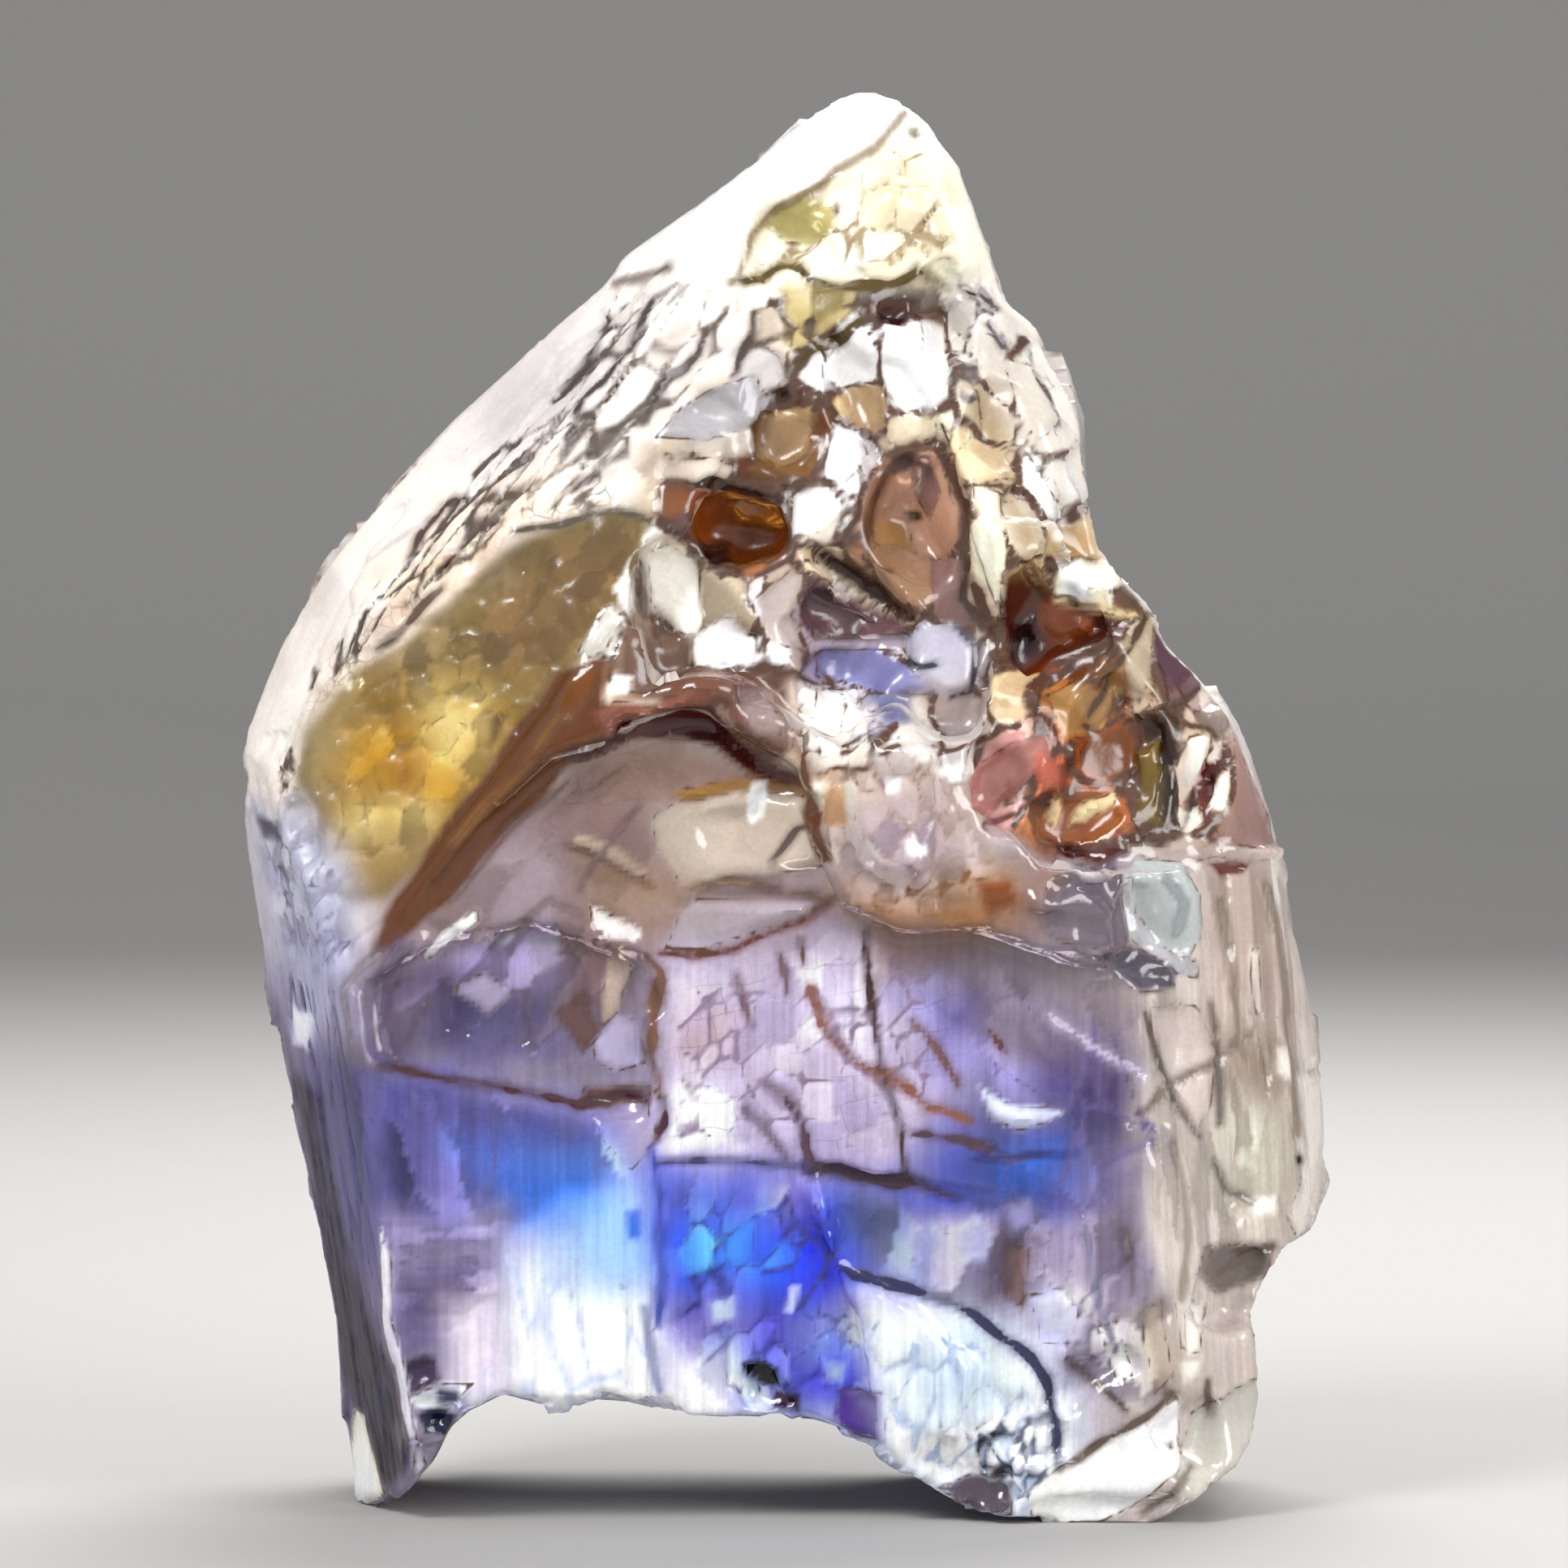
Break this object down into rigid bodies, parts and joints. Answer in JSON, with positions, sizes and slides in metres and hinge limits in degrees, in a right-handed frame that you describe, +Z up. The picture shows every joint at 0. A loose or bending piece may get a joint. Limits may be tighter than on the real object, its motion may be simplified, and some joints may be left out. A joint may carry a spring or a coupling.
{
  "type": "rough tanzanite crystal",
  "caption": "Rough tanzanite crystal, one natural piece: a leaning striated prism with a slanting etched top, a broken middle ledge and an arched underside.",
  "frame": {"origin": "middle of the crystal's box at the level it stands on", "axes": "+Z up along the crystal's height, +X to the right as seen from the front, front face towards -Y"},
  "size_m": [0.02, 0.0114, 0.026],
  "materials": {
    "tanzanite": "clear to frosted natural crystal, violet-blue below, golden and brown above, etched white on the upper left"
  },
  "bodies": {
    "root": {"tanzanite_crystal": "tanzanite"}
  },
  "joints": []
}
